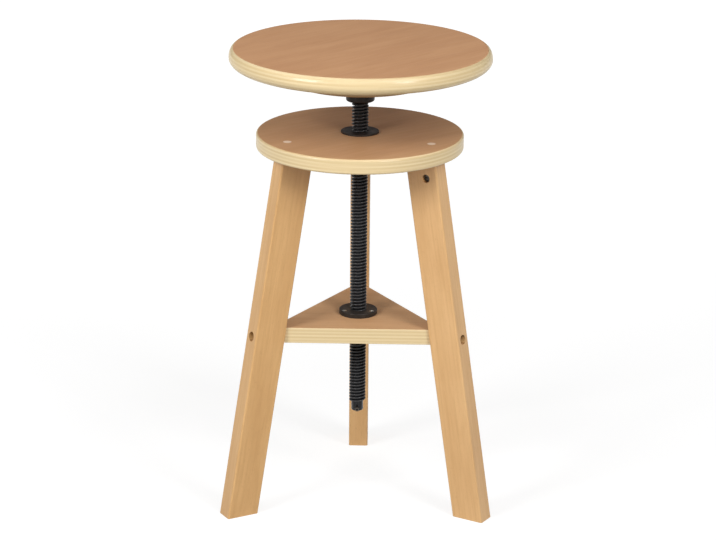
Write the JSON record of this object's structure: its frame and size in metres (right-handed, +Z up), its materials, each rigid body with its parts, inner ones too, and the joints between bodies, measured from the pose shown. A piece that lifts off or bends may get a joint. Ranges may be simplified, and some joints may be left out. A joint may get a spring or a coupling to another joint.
{
  "type": "drafting stool",
  "caption": "Height-adjustable drafting stool: a round plywood seat on a black screw spindle, in a frame of splayed beech legs with a round plate on top and a triangular brace.",
  "frame": {"origin": "on the floor, on the spindle's axis", "axes": "+Z up along the spindle; +Y towards the back leg; +X to the right as seen from the front, where the other two legs stand"},
  "size_m": [0.3264, 0.3374, 0.5581],
  "materials": {
    "seat_plywood": "satin lacquer, brown veneer on top and a pale ply edge",
    "frame_plywood": "satin lacquer, brown veneer on the faces and a pale ply edge",
    "beech": "satin lacquer",
    "plug_wood": "satin lacquer",
    "black_steel": "blackened, oiled",
    "zinc_steel": "bright zinc",
    "dull_steel": "plain, dulled"
  },
  "bodies": {
    "frame": {"top_plate": "frame_plywood", "guide_bush": "black_steel", "brace_plate": "frame_plywood", "flange_nut": "black_steel", "flange_nut_screws": "zinc_steel", "leg_back": "beech", "leg_bolt_back": "black_steel", "leg_nut_back": "dull_steel", "plug_back": "plug_wood", "leg_dowel_back": "plug_wood", "brace_bolt_back": "black_steel", "brace_nut_back": "dull_steel", "leg_left": "beech", "leg_bolt_left": "black_steel", "leg_nut_left": "dull_steel", "plug_left": "plug_wood", "leg_dowel_left": "plug_wood", "brace_bolt_left": "black_steel", "brace_nut_left": "dull_steel", "leg_right": "beech", "leg_bolt_right": "black_steel", "leg_nut_right": "dull_steel", "plug_right": "plug_wood", "leg_dowel_right": "plug_wood", "brace_bolt_right": "black_steel", "brace_nut_right": "dull_steel"},
    "collar": {"stop_collar": "black_steel"},
    "seat": {"seat_board": "seat_plywood", "seat_disc": "frame_plywood", "seat_disc_screws": "zinc_steel", "seat_flange": "black_steel", "seat_flange_screws": "zinc_steel", "spindle": "black_steel", "hub_pin": "dull_steel", "stop_pin": "dull_steel"}
  },
  "joints": [
    {"name": "seat_lift", "type": "slide", "parent": "frame", "child": "collar", "axis": [0, 0, 1], "range_m": [-0.03605, 0.09805]},
    {"name": "seat_turn", "type": "hinge", "parent": "collar", "child": "seat", "pos_m": [0, 0, 0], "axis": [0, 0, 1], "range_deg": [-3240, 8820]}
  ],
  "couplings": [
    {"joint": "seat_lift", "follows": "seat_turn", "m_per_rad": 0.00063662}
  ]
}
